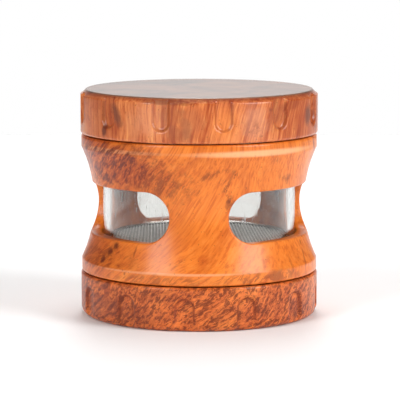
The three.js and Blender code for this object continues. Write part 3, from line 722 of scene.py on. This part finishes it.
stations = windowStations()
around = 2 * (waist["acrossSteps"] + waist["upSteps"])
bodyShape = bmesh.new()
for window in range(3):
    centre = (60 + 120 * window) * degrees
    grid = bmesh.ops.create_grid(bodyShape, x_segments=len(stations) - 1, y_segments=around, size=1)["verts"]
    for v in grid:
        station = stations[round((v.co.x + 1) / 2 * (len(stations) - 1))]
        azimuth, height, radius = station[round((v.co.y + 1) / 2 * around)]
        azimuth += centre
        v.co = Vector((radius * math.sin(azimuth), -radius * math.cos(azimuth), height)) * mm
bandTop, bandFoot = waist["middle"] + flareHalf, waist["middle"] - flareHalf
edge = waist["edgeRound"]
seat = foot("grinding_plate") - 0.3
lip = waist["bore"] - waist["lip"]
lipFoot = top("upper_sleeve_gasket") + 0.3
counterbore = waist["neckRadius"] + 0.3
upperProfile = (
    [(flareAt(waist["topCut"] + (bandTop - waist["topCut"]) * i / 4),
      waist["topCut"] + (bandTop - waist["topCut"]) * i / 4) for i in range(5)]
    + dense([(waist["band"], bandTop), (waist["band"], waist["top"] - edge)], 0.6)[1:]
    + arc((waist["band"] - edge, waist["top"] - edge), edge, 0, 90, 6)[1:]
    + [(counterbore + 0.25, waist["top"]), (counterbore, waist["top"] - 0.25), (counterbore, seat),
       (lip + 0.2, seat), (lip, seat - 0.2), (lip, lipFoot + 0.2), (lip + 0.2, lipFoot),
       (waist["bore"], lipFoot), (waist["bore"], waist["boreTopCut"])]
)
neck, neckFoot = waist["neckRadius"], foot("waist_body")
relief = neck - waist["neckWall"]
grooveInside, grooveOutside, grooveDepth = waist["sealGroove"]
lowerProfile = (
    [(waist["bore"], waist["boreFootCut"]), (waist["bore"], top("screen_frame"))]
    + [(waist["bore"] + 0.2, top("screen_frame")), (waist["bore"] + 0.2, foot("screen_frame")),
       (relief, foot("screen_frame")), (relief, neckFoot + 0.25), (relief + 0.25, neckFoot)]
    + arc((neck - waist["neckRound"], neckFoot + waist["neckRound"]), waist["neckRound"], -90, 0, 4)
    + dense([(neck, neckFoot + waist["neckRound"]), (neck, waist["foot"])], 0.16)[1:]
    + [(grooveInside, waist["foot"]), (grooveInside, waist["foot"] + grooveDepth),
       (grooveOutside, waist["foot"] + grooveDepth), (grooveOutside, waist["foot"])]
    + arc((waist["band"] - edge, waist["foot"] + edge), edge, -90, 0, 6)
    + dense([(waist["band"], waist["foot"] + edge), (waist["band"], bandFoot)], 0.6)[1:]
    + [(flareAt(bandFoot + (waist["footCut"] - bandFoot) * i / 4),
        bandFoot + (waist["footCut"] - bandFoot) * i / 4) for i in range(1, 5)]
)
for profile in (upperProfile, lowerProfile):
    addPart(bodyShape, spun(profile, waist["steps"]))
tidied(bodyShape)
for v in bodyShape.verts:
    radius, height = math.hypot(v.co.x, v.co.y) / mm, v.co.z / mm
    if abs(radius - neck) < 0.05 and neckFoot + 0.3 < height < waist["foot"] - 0.3:
        ridge = threadHeight(azimuthOf(v.co), height, cup["threadStart"], cup["threadPitch"], 1.75)
        setRadius(v.co, (radius + cup["threadDepth"] * ridge) * mm)
made("waistBody", bodyShape, "waist", bodyPrint, ["waist_body"])
print("waisted body done")


# Lid

cap = {
    "chamfer": 1.4, "topRound": 0.35, "footRound": 0.6, "rowSpacing": 0.3, "steps": 720,
    "flutes": 12, "fluteAzimuth": 11.7, "fluteHalf": 2.7, "fluteSlope": 1.0, "fluteDepth": 0.9,
    "fluteMargin": 2.65, "fluteReach": 2.2, "skirt": 28.8, "topWall": 3.0,
    "boss": 7.0, "pocket": 5.3, "pilot": 1.5,  # round the magnet and its screw
    "teeth": [6, 10, 14], "tooth": (2.6, 3.6), "toothBevel": 0.22, "plateThickness": 3.2, "collarWall": 1.4,
}
cap["radius"] = reach("lid")
cap["top"] = top("lid")
cap["foot"] = waist["top"] + 0.3
cap["ceiling"] = cap["top"] - cap["topWall"]
collarInside = reach("glide_ring") - cap["collarWall"]
ringPitch = (collarInside - cap["boss"]) / 6


def addTeeth(shape, ring, count, offset, low, high, look):  # diamond teeth in one ring
    for i in range(count):
        tooth = bmesh.new()
        bmesh.ops.create_cone(tooth, cap_ends=True, segments=4, radius1=0.5 * mm, radius2=0.5 * mm,
                              depth=(high - low) * mm)
        bmesh.ops.scale(tooth, vec=(look["tooth"][0], look["tooth"][1], 1), verts=tooth.verts)
        bmesh.ops.bevel(tooth, geom=tooth.edges[:], offset=look["toothBevel"] * mm, affect="EDGES",
                        segments=2, profile=0.5, material=-1)
        radius = cap["boss"] + (ring + 1) * ringPitch
        place = Matrix.Translation(Vector((radius, 0, (low + high) / 2)) * mm)
        turn = Matrix.Rotation((i + offset) * 2 * math.pi / count, 4, "Z")
        bmesh.ops.transform(tooth, matrix=turn @ place, verts=tooth.verts)
        addPart(shape, tooth)


side, crown, rim = cap["radius"], cap["top"], cap["foot"]
chamfer, topRound, footRound = cap["chamfer"], cap["topRound"], cap["footRound"]
bossFoot = foot("lid_magnet") - 0.1
pocketTop = top("lid_magnet") + 0.3
pilotTop = top("lid_magnet_screw") + 0.3
sideRound = topRound / math.sqrt(0.5) * 0.6
capProfile = (
    [(0, pilotTop), (cap["pilot"], pilotTop), (cap["pilot"], pocketTop), (cap["pocket"], pocketTop),
     (cap["pocket"], bossFoot + 0.2), (cap["pocket"] + 0.2, bossFoot), (cap["boss"] - 0.25, bossFoot),
     (cap["boss"], bossFoot + 0.25)]
    + arc((cap["boss"] + 0.6, cap["ceiling"] - 0.6), 0.6, 180, 90, 4)
    + [(14, cap["ceiling"]), (21, cap["ceiling"])]
    + arc((cap["skirt"] - 0.5, cap["ceiling"] - 0.5), 0.5, 90, 0, 4)
    + [(cap["skirt"], rim + 0.3), (cap["skirt"] + 0.3, rim)]
    + arc((side - footRound, rim + footRound), footRound, -90, 0, 7)
    + dense([(side, rim + footRound), (side, crown - chamfer - topRound)], cap["rowSpacing"])[1:]
    + arc((side - sideRound, crown - chamfer - topRound * 0.2), sideRound, 0, 45, 3)[1:]
    + dense([(side - 0.2, crown - chamfer + 0.05), (side - chamfer + 0.1, crown - 0.25)], 0.22)
    + arc((side - chamfer - 0.35, crown - 0.6), 0.6, 45, 90, 4)
    + dense([(side - chamfer - 0.6, crown), (side - chamfer - 3, crown)], 0.5)
    + [(24, crown), (14, crown), (0, crown)]
)
capShape = tidied(spun(capProfile, cap["steps"]))
cutFlutes(capShape, cap, rim + cap["fluteMargin"], 1, side - cap["fluteReach"])
plateFloor = foot("grinding_plate") + cap["plateThickness"]
for i, count in enumerate(cap["teeth"]):
    addTeeth(capShape, 2 * i, count, 0.5, plateFloor + 0.7, cap["ceiling"] + 0.4, cap)
made("lidCap", capShape, "lid", lidPrint, ["lid"])
print("lid done")


# Grinding plate

plate = {
    "teeth": [8, 12], "tooth": (2.6, 3.6), "toothBevel": 0.22,
    "holes": [(0, 8, 0), (2, 12, 0), (3, 12, 0.5)],  # each circle's place, count and turn
    "holeRadius": 1.81, "steps": 180,
}
low, floor, high = foot("grinding_plate"), plateFloor, top("grinding_plate")
collar = reach("glide_ring")
collarTop = foot("glide_ring") - 0.3
bossTop = top("plate_magnet") + 0.1
pocketFloor = foot("plate_magnet") - 0.3
pilotFoot = foot("plate_magnet_screw") - 0.3
plateProfile = (
    [(0, low), (collar - 0.3, low), (collar, low + 0.3), (collar, collarTop - 0.3)]
    + arc((collar - 0.3, collarTop - 0.3), 0.3, 0, 90, 3)
    + arc((collarInside + 0.3, collarTop - 0.3), 0.3, 90, 180, 3)
    + arc((collarInside - 0.6, floor + 0.6), 0.6, 0, -90, 4)
    + arc((cap["boss"] + 0.6, floor + 0.6), 0.6, -90, -180, 4)
    + [(cap["boss"], bossTop - 0.25), (cap["boss"] - 0.25, bossTop), (cap["pocket"] + 0.2, bossTop),
       (cap["pocket"], bossTop - 0.2), (cap["pocket"], pocketFloor), (cap["pilot"], pocketFloor),
       (cap["pilot"], pilotFoot), (0, pilotFoot)]
)
plateShape = tidied(spun(plateProfile, plate["steps"]))
plateObject = made("grindingPlate", plateShape, "waist", alloy, ["grinding_plate"])


def pierced(obj, cutter):  # cuts one piece by a shape and drops the shape
    data = bpy.data.meshes.new("cutter")
    cutter.to_mesh(data)
    cutter.free()
    tool = bpy.data.objects.new("cutter", data)
    bpy.context.scene.collection.objects.link(tool)
    modifier = obj.modifiers.new("cut", "BOOLEAN")
    modifier.operation = "DIFFERENCE"
    modifier.solver = "EXACT"
    modifier.object = tool
    bpy.context.view_layer.update()
    result = bpy.data.meshes.new_from_object(obj.evaluated_get(bpy.context.evaluated_depsgraph_get()))
    obj.modifiers.clear()
    old = obj.data
    obj.data = result
    bpy.data.meshes.remove(old)
    bpy.data.objects.remove(tool)
    bpy.data.meshes.remove(data)


drills = bmesh.new()
for ring, count, offset in plate["holes"]:
    for i in range(count):
        azimuth = math.pi / 2 + (i + offset) * 2 * math.pi / count
        radius = (cap["boss"] + (ring + 1) * ringPitch) * mm
        place = Matrix.Translation(Vector((radius * math.sin(azimuth), -radius * math.cos(azimuth),
                                           (low + floor) / 2 * mm)))
        bmesh.ops.create_cone(drills, cap_ends=True, segments=28, radius1=plate["holeRadius"] * mm,
                              radius2=plate["holeRadius"] * mm, depth=8 * mm, matrix=place)
pierced(plateObject, drills)
teethShape = bmesh.new()
teethShape.from_mesh(plateObject.data)
addTeeth(teethShape, 1, plate["teeth"][0], 0.5, floor - 0.4, cap["ceiling"] - 0.7, plate)
addTeeth(teethShape, 3, plate["teeth"][1], 0, floor - 0.4, cap["ceiling"] - 0.7, plate)
teethShape.to_mesh(plateObject.data)
teethShape.free()
plateObject.data.polygons.foreach_set("use_smooth", [True] * len(plateObject.data.polygons))
plateObject.data.set_sharp_from_angle(angle=35 * degrees)
print("grinding plate done")


# Glass sleeve and its gaskets

sleeve = {"wall": 1.8, "rimRound": 0.35, "steps": 192}
outer = reach("window_sleeve")
section = ringSection(outer - sleeve["wall"], outer, foot("window_sleeve"), top("window_sleeve"),
                      sleeve["rimRound"])
made("windowSleeve", tidied(spun(section, sleeve["steps"], True)), "sleeve", glass,
     ["window_sleeve"])
for name, node, body in (("upperGasket", "upper_sleeve_gasket", "waist"),
                         ("lowerGasket", "lower_sleeve_gasket", "sleeve")):
    section = ringSection(reach(node) - 1.0, reach(node), foot(node), top(node), 0.25)
    made(name, tidied(spun(section, 144, True)), body, silicone, [node])
section = ringSection(reach("body_seal_ring") - 0.8, reach("body_seal_ring"), foot("body_seal_ring"),
                      top("body_seal_ring"), 0.3)
made("bodySealRing", tidied(spun(section, 144, True)), "seal", silicone, ["body_seal_ring"])
section = ringSection(collarInside, collar, foot("glide_ring"), top("glide_ring"), 0.25)
made("glideRing", tidied(spun(section, 144, True)), "glide", nylon, ["glide_ring"])
print("sleeve, gaskets and rings done")


# Pollen screen

screen = {"frameInside": 23.0, "frameRoot": 25.9, "threadDepth": 0.6, "steps": 240,
          "pitch": 0.85, "wireRadius": 0.18, "proud": 0.05, "wireSides": 6, "stepsPerCrossing": 2,
          "weaveTurn": 2}
low, high = foot("screen_frame"), top("screen_frame")
root, inside = screen["frameRoot"], screen["frameInside"]
frameSection = (
    [(inside + 0.3, low), (root - 0.4, low), (root, low + 0.4)]
    + dense([(root, low + 0.4), (root, high - 0.4)], 0.16)[1:]
    + [(root - 0.3, high), (inside + 0.2, high), (inside, high - 0.2), (inside, low + 0.3)]
)
frameShape = tidied(spun(frameSection, screen["steps"], True))
for v in frameShape.verts:
    radius, height = math.hypot(v.co.x, v.co.y) / mm, v.co.z / mm
    if abs(radius - root) < 0.05 and low + 0.45 < height < high - 0.45:
        ridge = threadHeight(azimuthOf(v.co), height, low + 0.9, cup["threadPitch"], 1.25)
        setRadius(v.co, (radius + screen["threadDepth"] * ridge) * mm)
made("screenFrame", frameShape, "screen", alloy, ["screen_frame"])


def wovenGauze(radius, height):  # plain weave: each wire goes over one and under the next
    shape = bmesh.new()
    pitch, thin, sides = screen["pitch"], screen["wireRadius"], screen["wireSides"]
    count = int(radius / pitch)
    for way in (0, 1):
        for i in range(-count, count + 1):
            half = math.sqrt(max(0, radius ** 2 - (i * pitch) ** 2))
            if half < 2 * pitch:
                continue
            steps = int(2 * half / pitch * screen["stepsPerCrossing"])
            verts = bmesh.ops.create_grid(shape, x_segments=sides, y_segments=steps, size=1)["verts"]
            for v in verts:
                turn = (v.co.x + 1) * math.pi + math.pi / 4
                along = v.co.y * half
                wave = math.cos(math.pi * along / pitch + math.pi * (i + way))
                across = i * pitch + thin * math.cos(turn)
                z = height + (way - 0.5) * 2 * screen["proud"] + thin * wave + thin * math.sin(turn)
                v.co = Vector((along, across, z) if way == 0 else (across, along, z)) * mm
    bmesh.ops.rotate(shape, matrix=Matrix.Rotation(screen["weaveTurn"] * degrees, 3, "Z"), verts=shape.verts)
    return tidied(shape)


gauzeHeight = (foot("screen_mesh") + top("screen_mesh")) / 2
gauze = wovenGauze(reach("screen_mesh") - 0.05, gauzeHeight)
made("screenGauze", gauze, "screen", wire, ["screen_mesh"], 100)
section = ringSection(reach("screen_retainer") - 0.6, reach("screen_retainer"), foot("screen_retainer"),
                      top("screen_retainer"), 0.15)
made("screenRetainer", tidied(spun(section, 192, True)), "screen", steel,
     ["screen_retainer"])
print("pollen screen done")


# Magnets and their screws

def ringMagnet(name, node, body, up):
    face = (foot(node) if up > 0 else top(node))
    thick = (top(node) - foot(node)) * up
    bevel = 0.2 * up
    section = [(1.5, face + thick), (1.5, face + up * 1.5), (2.9, face), (4.8, face), (5.0, face + bevel),
               (5.0, face + thick - bevel), (4.8, face + thick)]
    made(name, tidied(spun(section, 72, True)), body, nickel, [node])


def crossScrew(name, node, body, up):
    face = (foot(node) if up > 0 else top(node))
    tip = (top(node) if up > 0 else foot(node))
    section = [(0, face), (2.4, face), (2.6, face + up * 0.15), (1.2, face + up * 1.2),
               (1.2, tip - up * 0.3), (0.9, tip), (0, tip)]
    obj = made(name, tidied(spun(section, 48)), body, steel, [node])
    for turn in (0, math.pi / 2):
        arm = bmesh.new()
        bmesh.ops.create_cube(arm, size=1)
        bmesh.ops.scale(arm, vec=(2.6 * mm, 0.7 * mm, 1.2 * mm), verts=arm.verts)
        bmesh.ops.rotate(arm, matrix=Matrix.Rotation(turn, 3, "Z"), verts=arm.verts)
        bmesh.ops.translate(arm, vec=(0, 0, face * mm), verts=arm.verts)
        pierced(obj, arm)
    obj.data.set_sharp_from_angle(angle=35 * degrees)


ringMagnet("plateMagnet", "plate_magnet", "waist", -1)
ringMagnet("lidMagnet", "lid_magnet", "lid", 1)
crossScrew("plateMagnetScrew", "plate_magnet_screw", "waist", -1)
crossScrew("lidMagnetScrew", "lid_magnet_screw", "lid", 1)
print("magnets and screws done")


# Floor, lights and camera

studio = {
    "floorSize": 0.9, "floorColour": "#fafafa", "fill": 0.14, "backdrop": 1.0, "backdropEdge": (0.90, 0.98),
    "lights": [
        {"name": "left softbox", "azimuth": -42, "elevation": 27, "distance": 0.9, "size": (0.34, 0.75),
         "power": 4.8},
        {"name": "right softbox", "azimuth": 57, "elevation": 27, "distance": 0.9, "size": (0.40, 0.75),
         "power": 6.8},
        {"name": "floor lamp", "azimuth": 180, "elevation": 50, "distance": 0.62, "size": (0.16, 0.8),
         "power": 2.6, "straightDown": True},
    ],
    "camera": {"distance": 640, "elevation": 7.6, "aim": (0.24, 0, 30.1), "lens": 215.7},
}

floorShape = bmesh.new()
bmesh.ops.create_grid(floorShape, x_segments=1, y_segments=1, size=studio["floorSize"] / 2)
floorData = bpy.data.meshes.new("floor")
floorShape.to_mesh(floorData)
floorShape.free()
board = newMaterial("pale matt board", {"Base Color": hexColour(studio["floorColour"]), "Roughness": 0.9})[0]
floorData.materials.append(board)
floorObject = bpy.data.objects.new("floor", floorData)
bpy.context.scene.collection.objects.link(floorObject)

world = bpy.data.worlds.new("white studio")
world.use_nodes = True
skyTree = world.node_tree
background = skyTree.nodes["Background"]
# White wherever the camera looks, and otherwise dim except for a patch straight behind the drum
direction = addNode(skyTree, "TexCoord").outputs["Generated"]
behind = addNode(skyTree, "SeparateXYZ", {0: direction}).outputs["Y"]
low, high = studio["backdropEdge"]
patch = addNode(skyTree, "MapRange", {"Value": behind, "From Min": low, "From Max": high,
                                      "To Min": studio["fill"], "To Max": studio["backdrop"]},
                interpolation_type="SMOOTHSTEP")
seen = addNode(skyTree, "LightPath").outputs["Is Camera Ray"]
strength = addNode(skyTree, "Math", {0: patch, 1: seen}, operation="MAXIMUM")
skyTree.links.new(strength.outputs[0], background.inputs["Strength"])
background.inputs["Color"].default_value = (1, 1, 1, 1)
bpy.context.scene.world = world
bpy.context.scene.view_settings.view_transform = "Standard"


def directionTo(azimuth, elevation, distance):
    turn, rise = azimuth * degrees, elevation * degrees
    return Vector((math.sin(turn) * math.cos(rise), -math.cos(turn) * math.cos(rise),
                   math.sin(rise))) * distance


for lamp in studio["lights"]:
    data = bpy.data.lights.new(lamp["name"], "AREA")
    data.shape = "RECTANGLE"
    data.size, data.size_y = lamp["size"]
    data.energy = lamp["power"]
    obj = bpy.data.objects.new(lamp["name"], data)
    centre = Vector((0, 0, 0.03))
    obj.location = centre + directionTo(lamp["azimuth"], lamp["elevation"], lamp["distance"])
    if not lamp.get("straightDown"):
        obj.rotation_euler = (obj.location - centre).to_track_quat("Z", "Y").to_euler()
    bpy.context.scene.collection.objects.link(obj)

view = studio["camera"]
cameraData = bpy.data.cameras.new("camera")
cameraData.lens = view["lens"]
cameraData.clip_end = 20
camera = bpy.data.objects.new("camera", cameraData)
aim = Vector(view["aim"]) * mm
camera.location = aim + directionTo(0, view["elevation"], view["distance"] * mm)
camera.rotation_euler = (camera.location - aim).to_track_quat("Z", "Y").to_euler()
bpy.context.scene.collection.objects.link(camera)
bpy.context.scene.camera = camera
print("floor, lights and camera ready")
